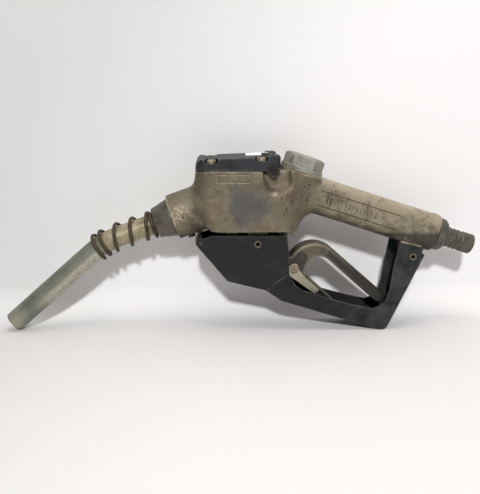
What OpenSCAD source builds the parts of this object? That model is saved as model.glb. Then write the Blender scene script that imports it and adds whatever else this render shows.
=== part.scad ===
// Automatic shut-off fuel nozzle, standing on its spout tip and hand guard.
// +X runs from the spout to the hose tail, +Y goes away from the side with
// the hold-open latch, +Z is up, and Z = 0 is the surface it stands on.

/* [Stance] */
// Height of the nose end's centre above the surface
nose_height = 116.9; // [116.5:0.1:117.5]
// Slope of the nose and of the upper spout, in degrees
upper_angle = 19.5; // [19:0.1:20]
// Slope of the straight lower spout, in degrees
lower_angle = 41.3; // [41:0.1:41.6]
// Slope of the handle and the hose tail, in degrees
handle_angle = 17.9; // [17.7:0.1:18.1]

/* [Spout] */
// Outside diameter of the spout tube
spout_od = 21; // [20.4:0.1:21.3]
// Wall of the spout tube
spout_wall = 1.3; // [1:0.1:1.8]
// Distance from the nose end to the middle of the bend
bend_at = 73.35; // [73:0.05:74]
// Distance from the middle of the bend to the tip
lower_length = 127.7; // [127:0.1:128]
// Radius of the bend on the centreline
bend_radius = 80; // [60:1:100]
// Outside diameter of the vent tube inside the spout
vent_od = 5; // [4:0.1:6]

/* [Anchor spring] */
// Wire of the spring round the spout
anchor_wire = 3.4; // [2.8:0.1:3.6]
// Mean diameter of the spring round the spout
anchor_diameter = 26; // [25.6:0.1:27]

/* [Body] */
// Width of the cast block
body_width = 56; // [54:1:58]
// Height of the block's top face
body_top = 166.3; // [166:0.1:166.6]
// Diameter of the nose
nose_diameter = 46; // [44:1:47]
// Diameter of the boss under the valve cap
boss_diameter = 45; // [44:1:46]
// Depth of the handle, square to its length
handle_depth = 37; // [36:0.5:38]
// Width of the handle
handle_width = 34; // [33:0.2:34.2]
// Length of the handle from its reference point to its end
handle_length = 92.5; // [92:0.5:98]

/* [Cover] */
// Height of the cover at its edge
cover_height = 10.1; // [9:0.1:10.5]
// Thickness of the diaphragm
diaphragm_thickness = 1; // [0.8:0.1:1.2]
// Distance between the cover screws along the body
screw_pitch_x = 48.6; // [48:0.2:49]
// Distance between the cover screws across the body
screw_pitch_y = 44; // [43:0.2:44.4]

/* [Valve] */
// Diameter of the valve chamber
chamber_diameter = 32; // [31:0.5:33]
// Diameter of the valve stem
stem_diameter = 6; // [5.6:0.1:6]
// Corner to corner size of the cap's hexagon
cap_hex = 41; // [38:0.5:42]
// Diameter of the cap's flange
cap_flange = 43; // [42:0.5:44]

/* [Hand guard] */
// Width of the guard over its two sides
guard_width = 40; // [40:0.2:40.4]
// Thickness of the guard's sides and web
guard_wall = 2.6; // [2:0.1:2.7]

/* [Lever] */
// Width of the lever
lever_width = 22; // [20:0.5:22]

/* [Hose tail] */
// Diameter of the hose tail
tail_diameter = 20.8; // [20:0.1:21]
// Length of the ribbed tail beyond its collar
tail_length = 31.8; // [30:0.1:32]

/* [Hidden] */
$fn = 64;
play = 0.1;
running = 0.05;

// Reference points, as [x, z] in the middle plane
nose_end = [-72.3, nose_height];
handle_start = [110.2, 127];
boss_top = [57.8, 164];
trip_x = -12.4;
lever_pivot = [trip_x, 84];
latch_pivot = [51.3, 64.2];
front_rivet = [13, 92.1];
rear_rivet = [171.8, 77.5];
nose_pin = [-43.9, 93.4];

// Spout path: straight, an arc that steepens, straight
turn = lower_angle - upper_angle;
tangent_length = bend_radius * tan(turn / 2);
arc_start = bend_at - tangent_length;
arc_length = bend_radius * turn * PI / 180;
lower_straight = lower_length - tangent_length;
spout_root = 16;
spout_r = spout_od / 2;

// Nose bore, from the nose end inwards
nose_bore_r = 17;
nose_bore_depth = 42;
nut_length = 18;
check_seat_at = -36;

// Diaphragm chamber and trip mechanism, heights
chamber_floor = 158;
cover_bottom = body_top + diaphragm_thickness;
cover_top = cover_bottom + cover_height;
sleeve_r = 9;
sleeve_bottom = 106;
trip_r = 5;
trip_shoulder = 132;
trip_head = 151;

// Valve, distances along its axis from the boss top, negative downwards
seat_at = -40;
stem_tip_at = -85.4;
gland_face = -64.5;
stem_r = stem_diameter / 2;
chamber_r = chamber_diameter / 2;

// Guard: its outer web from front to rear, then the free edge of its sides
half_guard = guard_width / 2;
web_line = [[-46.3, 99.3], [-49.2, 92.4], [-17.4, 54.1], [15.1, 45.6], [21.7, 44], [37.7, 32.6],
    [140.6, 0.05], [145.2, 0.3], [148.9, 3.9], [183.5, 79.1]];
flange_inner = [[180.4, 82.2], [182.5, 86], [157.7, 94.2], [152.3, 65], [149.6, 44],
    [146.2, 32], [140, 25], [132, 22.9], [113.3, 27.1], [87.9, 34], [72.6, 39.9], [62.2, 42.3],
    [53.7, 47.2], [46.6, 56.7], [45.3, 61], [44.8, 81], [42.4, 100.4], [-33.3, 101], [-41, 98]];

function arc(c, r, a0, a1, n) = [for (i = [0:n]) c + r * [cos(a0 + (a1 - a0) * i / n),
    sin(a0 + (a1 - a0) * i / n)]];

// Unit vector at an angle in the middle plane
function unit(a) = [cos(a), sin(a)];

// A line through two points moved to its left, and the crossing of two lines
function left_of(p, q) = let (d = (q - p) / norm(q - p)) [-d[1], d[0]];
function cross2(a, b) = a[0] * b[1] - a[1] * b[0];
function meet(p, d, q, e) = p + d * cross2(q - p, e) / cross2(d, e);
function moved(pts, off) = [for (i = [0:len(pts) - 1])
    i == 0 ? pts[0] + off * left_of(pts[0], pts[1])
    : i == len(pts) - 1 ? pts[i] + off * left_of(pts[i - 1], pts[i])
    : meet(pts[i - 1] + off * left_of(pts[i - 1], pts[i]), pts[i] - pts[i - 1],
        pts[i] + off * left_of(pts[i], pts[i + 1]), pts[i + 1] - pts[i])];

// Point and heading on the spout's centreline at a distance from the nose end
function heading(s) = 180 + upper_angle
    + (s < arc_start ? 0 : s > arc_start + arc_length ? turn : turn * (s - arc_start) / arc_length);
bend_centre = nose_end + arc_start * unit(180 + upper_angle)
    + bend_radius * unit(270 + upper_angle);
lower_start = bend_centre + bend_radius * unit(90 + lower_angle);
function spout_at(s) = s < arc_start ? nose_end + s * unit(180 + upper_angle)
    : s < arc_start + arc_length ? bend_centre + bend_radius * unit(heading(s) - 90)
    : lower_start + (s - arc_start - arc_length) * unit(180 + lower_angle);

// A swept round wire: rings of points round each step, skinned and capped
module wire(rings) {
    n = len(rings);
    m = len(rings[0]);
    sides = [for (i = [0:n - 2]) for (k = [0:m - 1])
        [i * m + k, i * m + (k + 1) % m, (i + 1) * m + (k + 1) % m, (i + 1) * m + k]];
    start = [[for (k = [0:m - 1]) m - 1 - k]];
    finish = [[for (k = [0:m - 1]) (n - 1) * m + k]];
    polyhedron([for (r = rings) each r], concat(start, sides, finish));
}

// A compression spring along +Z from z0 to z1, with one closed turn at each end
module coil_spring(z0, z1, mean_r, wire_d, turns) {
    facets = 8;
    steps = 18;
    n = round(turns * steps);
    lift = z1 - z0 - 3 * wire_d;
    wire([for (i = [0:n]) let (t = i / steps, a = 360 * t,
            rise = t < 1 ? t * wire_d
                : t > turns - 1 ? lift + wire_d + (t - turns + 1) * wire_d
                : wire_d + lift * (t - 1) / (turns - 2),
            z = z0 + wire_d / 2 + rise)
        [for (k = [0:facets - 1]) let (b = -360 * k / facets, r = mean_r + wire_d / 2 * cos(b))
            [r * cos(a), r * sin(a), z + wire_d / 2 * sin(b)]]]);
}

// Frames: +Z of the children points along the named axis
module on_nose(t = 0) {
    translate([nose_end[0], 0, nose_end[1]])
        rotate([0, -90 - upper_angle, 0])
            translate([0, 0, t])
                children();
}

module on_lower(t = 0) {
    translate([lower_start[0], 0, lower_start[1]])
        rotate([0, -90 - lower_angle, 0])
            translate([0, 0, t])
                children();
}

module on_valve(t = 0) {
    translate([boss_top[0], 0, boss_top[1]])
        rotate([0, handle_angle, 0])
            translate([0, 0, t])
                children();
}

// Here +X of the children points down and -X up, square to the handle
module on_handle(t = 0) {
    translate([handle_start[0], 0, handle_start[1]])
        rotate([0, 90 + handle_angle, 0])
            translate([0, 0, t])
                children();
}

// A profile in the XZ plane, extruded from y0 to y1
module profile(points, y0, y1) {
    translate([0, y1, 0])
        rotate([90, 0, 0])
            linear_extrude(y1 - y0)
                polygon(points);
}

module cross_cylinder(at, r, y0, y1) {
    translate([at[0], y1, at[1]])
        rotate([90, 0, 0])
            cylinder(h = y1 - y0, r = r);
}

// A rectangle with its front corners at r0 and its rear corners at r1
module rounded_plan(x0, x1, width, r0, r1) {
    half = width / 2;
    translate([x0 + r0, -half])
        square([x1 - r1 - x0 - r0, width]);
    translate([x0, -half + r0])
        square([r0 + 0.01, width - 2 * r0]);
    translate([x1 - r1 - 0.01, -half + r1])
        square([r1 + 0.01, width - 2 * r1]);
    for (side = [-1, 1]) {
        translate([x0 + r0, side * (half - r0)])
            circle(r0);
        translate([x1 - r1, side * (half - r1)])
            circle(r1);
    }
}

// Hollow tube along the spout path: two straight pieces, and a bend a hair
// thinner whose ends sink into their walls. off is towards the outside of the bend.
module straight_tube(r, wall, length) {
    difference() {
        cylinder(h = length, r = r);
        translate([0, 0, -1])
            cylinder(h = length + 2, r = r - wall);
    }
}

module tube_along_spout(r, wall, s0, s1, off = 0) {
    hair = 0.03;
    sink = 0.8;
    on_nose(s0)
        translate([off, 0, 0])
            straight_tube(r, wall, arc_start - s0);
    translate([bend_centre[0], 0, bend_centre[1]])
        rotate([90, 0, 0])
            rotate([0, 0, 90 + upper_angle - sink])
                rotate_extrude(angle = turn + 2 * sink)
                    translate([bend_radius + off, 0])
                        difference() {
                            circle(r - hair);
                            circle(r - wall + hair);
                        }
    on_lower(0)
        translate([off, 0, 0])
            straight_tube(r, wall, s1 - arc_start - arc_length);
}

// Valve body: block, nose, valve boss, handle and guard lugs in one casting
block_side = [[-48.4, body_top], [-49.6, 154], [-38.5, 111], [-33.5, 105.4], [40.8, 105.2],
    [48.4, 101.8], [52, 107], [55.6, 113.5], [60.8, 119.5], [64, 140],
    [56.5, 163.6], [50.2, body_top]];
arch_side = [[60.4, 119], [66, 120.4], [90, 113], [90, 95], [52, 95], [55, 112]];
pocket_side = [[17.5, body_top + 1], [17.5, 162], [20, 148.6], [26, 145.8], [31.5, 144.8],
    [46.5, 151.5], [43.5, body_top + 1]];
pocket_floor = 19.5;

module handle_solid(t0, t1, depth, width, r) {
    on_handle(t0)
        linear_extrude(t1 - t0)
            rounded_plan(-depth / 2, depth / 2, width, r, r);
}

module body_outside() {
    intersection() {
        profile(block_side, -body_width / 2, body_width / 2);
        translate([0, 0, 90])
            linear_extrude(90)
                rounded_plan(-49.6, 62, body_width, 14, 26);
    }
    on_nose(-44)
        cylinder(h = 44, d = nose_diameter);
    difference() {
        on_valve(-46)
            cylinder(h = 46, d = boss_diameter);
        profile(arch_side, -30, 30);
    }
    on_valve(gland_face)
        cylinder(h = 20, r = 10);
    handle_solid(-56, handle_length, handle_depth, handle_width, 13);
    handle_solid(86, handle_length - 2, handle_depth + 1.6, handle_width + 1.2, 14);
    handle_lip();
    guard_lugs();
}

// Thin lip that the rear of the guard tucks under
module handle_lip() {
    on_handle(49)
        translate([15, -half_guard, 0])
            cube([1.6, guard_width, 27]);
}

module guard_lugs() {
    inside = half_guard - guard_wall - play;
    for (side = [-1, 1]) {
        y0 = side > 0 ? lever_width / 2 + 0.9 : -inside;
        y1 = side > 0 ? inside : -lever_width / 2 - 0.9;
        profile([[3, 108], [3, 94], [6, 86.5], [10, 84], [16, 84], [20, 86.5], [23, 94], [23, 108]],
            y0, y1);
    }
    profile([[164, 97], [164, 81], [165.4, 75.6], [168, 72.2], [172, 70.5], [177, 73.2],
        [178.6, 77.5], [178, 92]], -inside, inside);
}

module body_passages() {
    on_nose(-nose_bore_depth)
        cylinder(h = nose_bore_depth + 1, r = nose_bore_r);
    on_valve(seat_at)
        cylinder(h = -seat_at + 1, r = chamber_r);
    on_valve(seat_at - 12)
        cylinder(h = 13, r = 10);
    on_valve(gland_face - 1)
        cylinder(h = 9.7, r = 6);
    on_valve(-60)
        cylinder(h = 22, r = stem_r + running);
    on_handle(-52)
        cylinder(h = handle_length + 53, r = 12);
    translate([4.5, 0, 124.5])
        rotate([0, 4.8, 0])
            cube([82, 40, 15], center = true);
    translate([trip_x, 0, chamber_floor])
        cylinder(h = 20, r = 21);
    translate([trip_x, 0, 90])
        cylinder(h = 80, r = sleeve_r);
    at_cover_screws()
        translate([0, 0, body_top - 12])
            cylinder(h = 13, r = 2.1);
    cross_cylinder(rear_rivet, 3.1, -30, 30);
    cross_cylinder(front_rivet, 3.1, -30, 30);
    on_nose(-12)
        rotate([0, -90, 0])
            cylinder(h = 30, r = 2.6);
}

// Shallow blank panel on each side of the handle, inside two fine grooves
module handle_panels() {
    for (side = [-1, 1]) {
        for (across = [-6.6, 6.2])
            on_handle(-38)
                translate([across, side * handle_width / 2 - 0.4, 0])
                    cube([0.8, 0.8, 87]);
        on_handle(-36)
            translate([-5.8, side * handle_width / 2 - 0.3, 0])
                cube([12, 0.6, 85]);
    }
}

module valve_body() {
    color("#8a8270")
        difference() {
            body_outside();
            body_passages();
            handle_panels();
            profile(pocket_side, -40, -pocket_floor);
            profile(pocket_side, pocket_floor, 40);
        }
}

module at_cover_screws() {
    for (x = [-1, 1])
        for (y = [-1, 1])
            translate([cover_centre + x * screw_pitch_x / 2, y * screw_pitch_y / 2, screw_rise(x)])
                children();
}

// Diaphragm cover with four open screw notches and a tab over each pocket
cover_front = -48.6;
cover_rear = 34.2;
cover_centre = -8.6;
notch_r = 6.6;
notch_floor = 173.4;
rear_rise = 2.8;
rear_screw_rise = 2.2;
function screw_rise(x) = x > 0 ? rear_screw_rise : 0;
tab_x = 27.1;
tab_r = 6.6;
tab_drop = 5.2;
horn_height = 4;

module cover_plan(inset) {
    rounded_plan(cover_front + inset, cover_rear - inset, body_width - 2 * inset, 9, 4);
}

module diaphragm_cover() {
    color("#3a3d40")
        difference() {
            union() {
                intersection() {
                    translate([0, 0, cover_bottom])
                        linear_extrude(cover_height + rear_rise)
                            cover_plan(0);
                    profile([[cover_front, cover_bottom - 1], [cover_front, cover_bottom + 1.5],
                        [cover_front + 2.2, cover_top - 2.4], [cover_front + 4.4, cover_top - 0.2],
                        [cover_rear - 1, cover_top + rear_rise], [cover_rear, cover_top + rear_rise - 1],
                        [cover_rear, cover_bottom - 1]], -40, 40);
                }
                cover_tabs();
                cover_horns();
                translate([24, 0, cover_top - 0.01])
                    cylinder(h = rear_rise + 1, r = 7);
            }
            translate([trip_x, 0, cover_bottom - 1])
                cylinder(h = 7.6, r = 21);
            at_cover_screws()
                translate([0, 0, cover_bottom - 4])
                    cylinder(h = cover_height + 3, r = 2.3);
            at_cover_screws()
                translate([0, 0, notch_floor])
                    cylinder(h = cover_height, r = notch_r);
            for (x = [-1, 1])
                for (y = [-1, 1])
                    translate([cover_centre + x * screw_pitch_x / 2 - notch_r, y * 30 - 8,
                            notch_floor + screw_rise(x)])
                        cube([2 * notch_r, 16, cover_height]);
        }
}

module cover_tabs() {
    outline = [[tab_x - tab_r, cover_bottom + 2], [tab_x - tab_r, body_top + 0.6],
        [tab_x - 2.8, body_top - tab_drop + 1], [tab_x - 1.2, body_top - tab_drop],
        [tab_x + 1.2, body_top - tab_drop], [tab_x + 2.8, body_top - tab_drop + 1],
        [tab_x + tab_r, body_top + 0.6], [tab_x + tab_r, cover_bottom + 2]];
    profile(outline, -body_width / 2, -pocket_floor - 2.5);
    profile(outline, pocket_floor + 2.5, body_width / 2);
}

// Raised horn at each rear corner of the cover
module cover_horns() {
    outline = [[tab_x - 5, cover_top - 1], [tab_x - 4, cover_top + horn_height - 1],
        [tab_x - 3, cover_top + horn_height], [cover_rear - 1.4, cover_top + horn_height],
        [cover_rear - 0.4, cover_top + horn_height - 1], [cover_rear - 0.4, cover_top - 1.5]];
    intersection() {
        union() {
            profile(outline, -body_width / 2, -17);
            profile(outline, 17, body_width / 2);
        }
        translate([0, 0, cover_bottom])
            linear_extrude(30)
                cover_plan(0.4);
    }
}

module cover_screws() {
    color("#a89f86")
        at_cover_screws() {
            difference() {
                translate([0, 0, notch_floor + play])
                    rotate_extrude()
                        polygon([[0, 0], [5, 0], [5, 1.6], [4.2, 3], [2.8, 3.6], [0, 3.8]]);
                translate([-4, -0.6, notch_floor + 2.6])
                    cube([8, 1.2, 3]);
            }
            translate([0, 0, body_top - 10])
                cylinder(h = notch_floor - body_top + 10.2, r = 2);
        }
}

// Diaphragm: clamped rim, a hole for the release pin and room for the cover's tabs
module diaphragm() {
    color("#26241f")
        difference() {
            translate([0, 0, body_top])
                linear_extrude(diaphragm_thickness)
                    cover_plan(0.4);
            translate([trip_x, 0, body_top - 1])
                cylinder(h = 4, r = 3);
            at_cover_screws()
                translate([0, 0, body_top - 4])
                    cylinder(h = 8, r = 2.4);
            for (side = [-1, 1])
                translate([tab_x - tab_r - play, side * (pocket_floor + 12) - 10, body_top - 1])
                    cube([2 * tab_r + 3, 20, 4]);
        }
}

module diaphragm_plate() {
    color("#b9a56a")
        translate([trip_x, 0, cover_bottom + 0.3])
            difference() {
                union() {
                    cylinder(h = 1.2, r = 12);
                    cylinder(h = 3, r = 4);
                }
                translate([0, 0, -1])
                    cylinder(h = 6, r = 2.2);
            }
}

module release_pin() {
    color("#c2c0b8")
        translate([trip_x, 0, 112])
            rotate_extrude()
                polygon([[0, 0], [1.4, 0], [1.6, 6], [2.3, 9], [2.3, 40], [2.1, 42],
                    [2.1, cover_bottom - 108.7], [0, cover_bottom - 108.7]]);
}

module diaphragm_spring() {
    color("#9a9a94")
        translate([trip_x, 0, 0])
            coil_spring(cover_bottom + 1.8, cover_bottom + 6.5, 7.5, 0.8, 4);
}

// Sleeve pressed through the body, with a relief for the balls
module trip_sleeve() {
    color("#b7a26a")
        translate([trip_x, 0, 0])
            difference() {
                translate([0, 0, sleeve_bottom])
                    cylinder(h = chamber_floor - sleeve_bottom, r = sleeve_r);
                translate([0, 0, sleeve_bottom - 1])
                    cylinder(h = 60, r = trip_r + running);
                translate([0, 0, trip_shoulder])
                    cylinder(h = 30, r = 7);
                translate([0, 0, 112])
                    cylinder(h = 13, r = 6.4);
            }
}

module trip_stem() {
    color("#a7a59c")
        difference() {
            translate([trip_x, 0, 0]) {
                translate([0, 0, 93])
                    cylinder(h = trip_head - 93, r = trip_r);
                translate([0, 0, trip_head - 0.01])
                    cylinder(h = 3, r = 6.6);
                translate([-5, -4, 80])
                    cube([10, 8, 13.5]);
            }
            translate([trip_x, 0, 110])
                cylinder(h = 60, r = 2.6);
            translate([trip_x, 0, 122])
                for (a = [0, 120, 240])
                    rotate([0, 90, a])
                        cylinder(h = 10, r = 1.8);
            cross_cylinder(lever_pivot, 2.5 + running, -10, 10);
        }
}

module trip_balls() {
    color("#d5d3cc")
        translate([trip_x, 0, 122])
            for (a = [0, 120, 240])
                rotate([0, 0, a])
                    translate([4.4, 0, 0])
                        sphere(1.6, $fn = 32);
}

module trip_spring() {
    color("#8f8f8a")
        translate([trip_x, 0, 0])
            coil_spring(trip_shoulder + 0.2, trip_head - 0.2, 6, 1, 7);
}

// Lever: fork at the trip stem, arm under the valve stem, hump and long grip
hump = [72, 63.6];
hump_r = 27.5;
hollow = [77, 62.8];
hollow_r = 13.8;
grip_slope = 41;
grip_end = [140, 33.2];
grip_end_r = 5.6;
lever_side = concat(
    arc(lever_pivot, 7, 250, 100, 12),
    [[4, 84.5], [25, 79.1], [38, 79.1], [44, 77.4]],
    arc(hump, hump_r, 151, 90 - grip_slope, 24),
    arc(grip_end, grip_end_r, 90 - grip_slope, -90 - grip_slope, 12),
    arc(hollow, hollow_r, 90 - grip_slope, 172, 20),
    [[60.4, 57.8], [55, 56.2], [46, 58.6], [20, 68]]);

// The lever is a channel, open towards the fingers
lever_wall = 3.2;
lever_channel = concat(
    arc(hump, hump_r - lever_wall, 128, 90 - grip_slope, 20),
    arc(grip_end, grip_end_r - lever_wall, 90 - grip_slope, -30, 8),
    [[126, 20], [112, 38]],
    arc(hollow, 9, 53, 180, 8),
    [[57.5, 50]]);

module lever() {
    color("#5d574a")
        difference() {
            profile(lever_side, -lever_width / 2, lever_width / 2);
            profile(lever_channel, lever_wall - lever_width / 2, lever_width / 2 - lever_wall);
            translate([trip_x - 12.6, -4.6, 60])
                cube([28, 9.2, 40]);
            cross_cylinder(lever_pivot, 2.5 - 0.02, -20, 20);
            cross_cylinder(latch_pivot, 2 + running, -20, 20);
        }
}

module lever_pin() {
    color("#c2c0b8")
        difference() {
            cross_cylinder(lever_pivot, 2.5, -lever_width / 2 - 0.3, lever_width / 2 + 0.3);
            cross_cylinder(lever_pivot, 1.2, -lever_width / 2 - 1, -lever_width / 2 + 1);
        }
}

// Hold-open latch: two cheeks beside the lever and a cross plate below it
latch_y0 = lever_width / 2 + 0.6;
latch_y1 = latch_y0 + 1.6;
latch_side = concat(arc(latch_pivot, 5.6, 55, 185, 12),
    [[46.3, 57.5], [71.8, 39], [73.6, 38.6], [77, 41.6], [76.6, 43], [60.6, 57.4], [57, 62]]);

module hold_open_latch() {
    color("#96947f")
        difference() {
            union() {
                profile(latch_side, -latch_y1, -latch_y0);
                profile(latch_side, latch_y0, latch_y1);
                profile([[58, 48.9], [71.8, 39], [73.6, 38.6], [75, 40.2], [60, 51]],
                    -latch_y1, latch_y1);
            }
            cross_cylinder(latch_pivot, 2 - 0.02, -30, 30);
        }
}

// Spring rod of the latch, lying inside the guard's near side
module latch_rod() {
    color("#8f8e84")
        wire([for (p = [[62.4, 57.9, 35], [70, 51.2, 42], [79.3, 42.4, 43], [85, 37.4, 42],
                [90.5, 32.4, 42]])
            [for (k = [0:9]) [p[0] + 1.4 * cos(36 * k) * sin(p[2]), -latch_y1 - 1.3 + 1.4 * sin(36 * k),
                p[1] + 1.4 * cos(36 * k) * cos(p[2])]]]);
}

module latch_rivet() {
    color("#8c8c68") {
        cross_cylinder(latch_pivot, 2, -latch_y1 - 0.3, latch_y1 + 0.3);
        for (side = [-1, 1])
            difference() {
                cross_cylinder(latch_pivot, 4.6, side > 0 ? latch_y1 : -latch_y1 - 1.3,
                    side > 0 ? latch_y1 + 1.3 : -latch_y1);
                cross_cylinder(latch_pivot, 3, side > 0 ? latch_y1 + 0.6 : -latch_y1 - 2,
                    side > 0 ? latch_y1 + 2 : -latch_y1 - 0.6);
            }
    }
}

// Valve cap: flange, chamfered hexagon and a hollow plug
cap_thread_r = chamber_r - play;

module valve_cap() {
    color("#8f8e86")
        on_valve()
            difference() {
                union() {
                    cylinder(h = 4, d = cap_flange);
                    intersection() {
                        rotate([0, 0, -9])
                            cylinder(h = 15.2, d = cap_hex, $fn = 6);
                        rotate_extrude()
                            polygon([[0, 0], [25, 0], [25, 10.6], [17.2, 15.2], [0, 15.2]]);
                    }
                    translate([0, 0, -12])
                        cylinder(h = 12.01, r = cap_thread_r);
                }
                translate([0, 0, -13])
                    cylinder(h = 17, r = 12);
            }
}

module cap_seal() {
    color("#26241f")
        on_valve(-15)
            rotate_extrude()
                translate([14.7, 0])
                    circle(1.1, $fn = 24);
}

module main_spring() {
    color("#9a9a94")
        on_valve()
            coil_spring(-32, 3.8, 9.6, 2, 6.5);
}

module main_poppet() {
    color("#b7a26a")
        on_valve(seat_at + 2.4)
            difference() {
                union() {
                    cylinder(h = 5.4, r = 13.6);
                    cylinder(h = 10, r = 7.4);
                }
                translate([0, 0, -1])
                    cylinder(h = 9, r = stem_r);
            }
}

module poppet_disc() {
    color("#26241f")
        on_valve(seat_at + 0.3)
            difference() {
                cylinder(h = 2, r = 13);
                translate([0, 0, -1])
                    cylinder(h = 4, r = stem_r + play);
            }
}

module valve_stem() {
    color("#c2c0b8") {
        on_valve(stem_tip_at)
            cylinder(h = seat_at + 10 - stem_tip_at, r = stem_r);
        on_valve(stem_tip_at)
            sphere(stem_r);
    }
}

module stem_gland() {
    color("#b7a26a")
        on_valve(gland_face)
            difference() {
                union() {
                    cylinder(h = 6, r = 6 - play);
                    translate([0, 0, -5])
                        cylinder(h = 5.01, r = 8.5, $fn = 6);
                }
                translate([0, 0, -6])
                    cylinder(h = 20, r = stem_r + running);
            }
}

module stem_seal() {
    color("#26241f")
        on_valve(gland_face + 7.3)
            rotate_extrude()
                translate([stem_r + 1.45, 0])
                    circle(1.25, $fn = 24);
}

// Check valve between the body and the spout
module check_seat() {
    color("#b7a26a")
        on_nose(check_seat_at)
            difference() {
                cylinder(h = 5, r = nose_bore_r - play);
                translate([0, 0, -1])
                    cylinder(h = 8, r = 10);
            }
}

module check_poppet() {
    color("#c9b26a")
        on_nose(check_seat_at + 5.3)
            rotate_extrude()
                polygon([[0, -8], [2, -8], [2.6, -1], [9.6, -0.4], [9.6, 0], [12, 0], [12, 2.4],
                    [5, 3.4], [3, 8], [0, 8.6]]);
}

module check_spring() {
    color("#9a9a94")
        on_nose()
            coil_spring(check_seat_at + 8, -spout_root - 0.2, 10, 1.1, 5);
}

// Spout nut: a cone outside, a threaded sleeve inside the nose
module spout_nut() {
    color("#5a564c")
        on_nose()
            rotate_extrude()
                polygon([[spout_r + play, -13], [nose_bore_r - play, -13], [nose_bore_r - play, 0.2],
                    [19.2, 0.2], [19.4, 1.4], [19, 3], [16.9, 11.5], [16.1, 14.6], [15.6, nut_length - 0.6],
                    [15, nut_length], [spout_r + play, nut_length]]);
}

module spout_seal() {
    color("#26241f")
        on_nose(-14.6)
            rotate_extrude()
                translate([spout_r + 1.5, 0])
                    circle(1.3, $fn = 24);
}

module spout_tube() {
    color("#8c8a76")
        difference() {
            tube_along_spout(spout_r, spout_wall, -spout_root, arc_start + arc_length + lower_straight);
            on_lower(lower_straight - 14)
                rotate([0, -90, 0])
                    cylinder(h = 20, r = 1.4);
        }
}

module vent_tube() {
    color("#b9a56a")
        tube_along_spout(vent_od / 2, 0.7, -12, arc_start + arc_length + lower_straight - 8,
            spout_r - spout_wall - vent_od / 2 - 0.15);
}

// Anchor spring: closed turn, open turns, closing turn, along the bent spout
closed_start = nut_length + anchor_wire / 2 + 0.1;
open_pitch = 17;
open_turns = 2.8;
end_pitch = 7.35;
anchor_turns = 5.45;
anchor_phase = 0.97;
function anchor_at(t) = closed_start + (t < 1 ? 3.6 * t
    : t < 1 + open_turns ? 3.6 + open_pitch * (t - 1)
    : 3.6 + open_pitch * open_turns + end_pitch * (t - 1 - open_turns));

module anchor_spring() {
    steps = 20;
    sides = 10;
    color("#5a4a34")
        wire([for (i = [0:anchor_turns * steps]) let (t = i / steps, s = anchor_at(t),
                a = 360 * (t - anchor_phase), h = heading(s), c = spout_at(s),
                up = unit(h - 90), ahead = unit(h))
            [for (k = [0:sides - 1]) let (b = 360 * k / sides,
                    r = anchor_diameter / 2 + anchor_wire / 2 * cos(b),
                    f = anchor_wire / 2 * sin(b),
                    p = c + up * r * cos(a) + ahead * f)
                [p[0], -r * sin(a), p[1]]]]);
}

module spout_set_screw() {
    color("#3c3a34")
        on_nose(-12)
            rotate([0, -90, 0])
                difference() {
                    translate([0, 0, nose_bore_r + 0.2])
                        union() {
                            cylinder(h = 6, r = 2.5);
                            translate([0, 0, 5.8])
                                cylinder(h = 2.6, r = 3.6);
                        }
                    translate([0, 0, nose_bore_r + 7])
                        cylinder(h = 4, r = 1.6, $fn = 6);
                }
}

// Hand guard: a channel of two sides joined by a web along its outer edge
module hand_guard() {
    side_outline = concat(web_line, flange_inner);
    cavity = concat(moved(web_line, guard_wall), [[186, 96], [150, 100], [118, 60], [60, 110],
        [-30, 110]]);
    inner = half_guard - guard_wall;
    color("#35373a")
        difference() {
            profile(side_outline, -half_guard, half_guard);
            profile(cavity, -inner, inner);
            cross_cylinder(front_rivet, 3.1, -30, 30);
            cross_cylinder(rear_rivet, 3.1, -30, 30);
            cross_cylinder(nose_pin, 1.5, -30, 30);
        }
}

// Tubular rivet from y0 to y1, with a rolled head at the outer end of side
module tube_rivet(at, y0, y1, heads) {
    difference() {
        union() {
            cross_cylinder(at, 3, y0, y1);
            for (side = heads)
                cross_cylinder(at, 3.6, side > 0 ? half_guard : -half_guard - 0.7,
                    side > 0 ? half_guard + 0.7 : -half_guard);
        }
        cross_cylinder(at, 2.1, -40, 40);
    }
}

module guard_front_rivets() {
    color("#96907f")
        for (side = [-1, 1])
            tube_rivet(front_rivet, side > 0 ? 12 : -half_guard - 0.7, side > 0 ? half_guard + 0.7 : -12,
                [side]);
}

module guard_rear_rivet() {
    color("#96907f")
        tube_rivet(rear_rivet, -half_guard - 0.7, half_guard + 0.7, [-1, 1]);
}

module guard_nose_pin() {
    color("#6f6c62")
        cross_cylinder(nose_pin, 1.48, -half_guard - 0.3, half_guard + 0.3);
}

// Hose tail: threaded end inside the handle, collar, ribs and plain lead
module hose_tail() {
    rib_pitch = 4.7;
    tail_r = tail_diameter / 2;
    collar = 10;
    bite = 0.9;
    lead_at = collar + 19.5;
    first_rib = collar + 4.5;
    ribs = [for (i = [0:2]) for (p = [[tail_r, 0], [tail_r, 1.6], [tail_r - bite, 2.2], [tail_r - bite, 4.1]])
        p + [0, first_rib + i * rib_pitch]];
    outline = concat([[8, -14], [12 - play, -14], [12 - play, 0.2], [16, 0.2], [16.8, 1],
        [16.8, collar - 3], [14.6, collar], [tail_r - bite, collar], [tail_r - bite, first_rib - 0.6]],
        ribs,
        [[tail_r, lead_at], [tail_r, collar + tail_length - 0.8],
            [tail_r - 0.8, collar + tail_length], [8, collar + tail_length]]);
    color("#5c5a52")
        on_handle(handle_length)
            rotate_extrude()
                polygon(outline);
}

module hose_tail_seal() {
    color("#26241f")
        on_handle(handle_length - 16)
            difference() {
                cylinder(h = 1.8, r = 12 - play);
                translate([0, 0, -1])
                    cylinder(h = 4, r = 9);
            }
}

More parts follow.
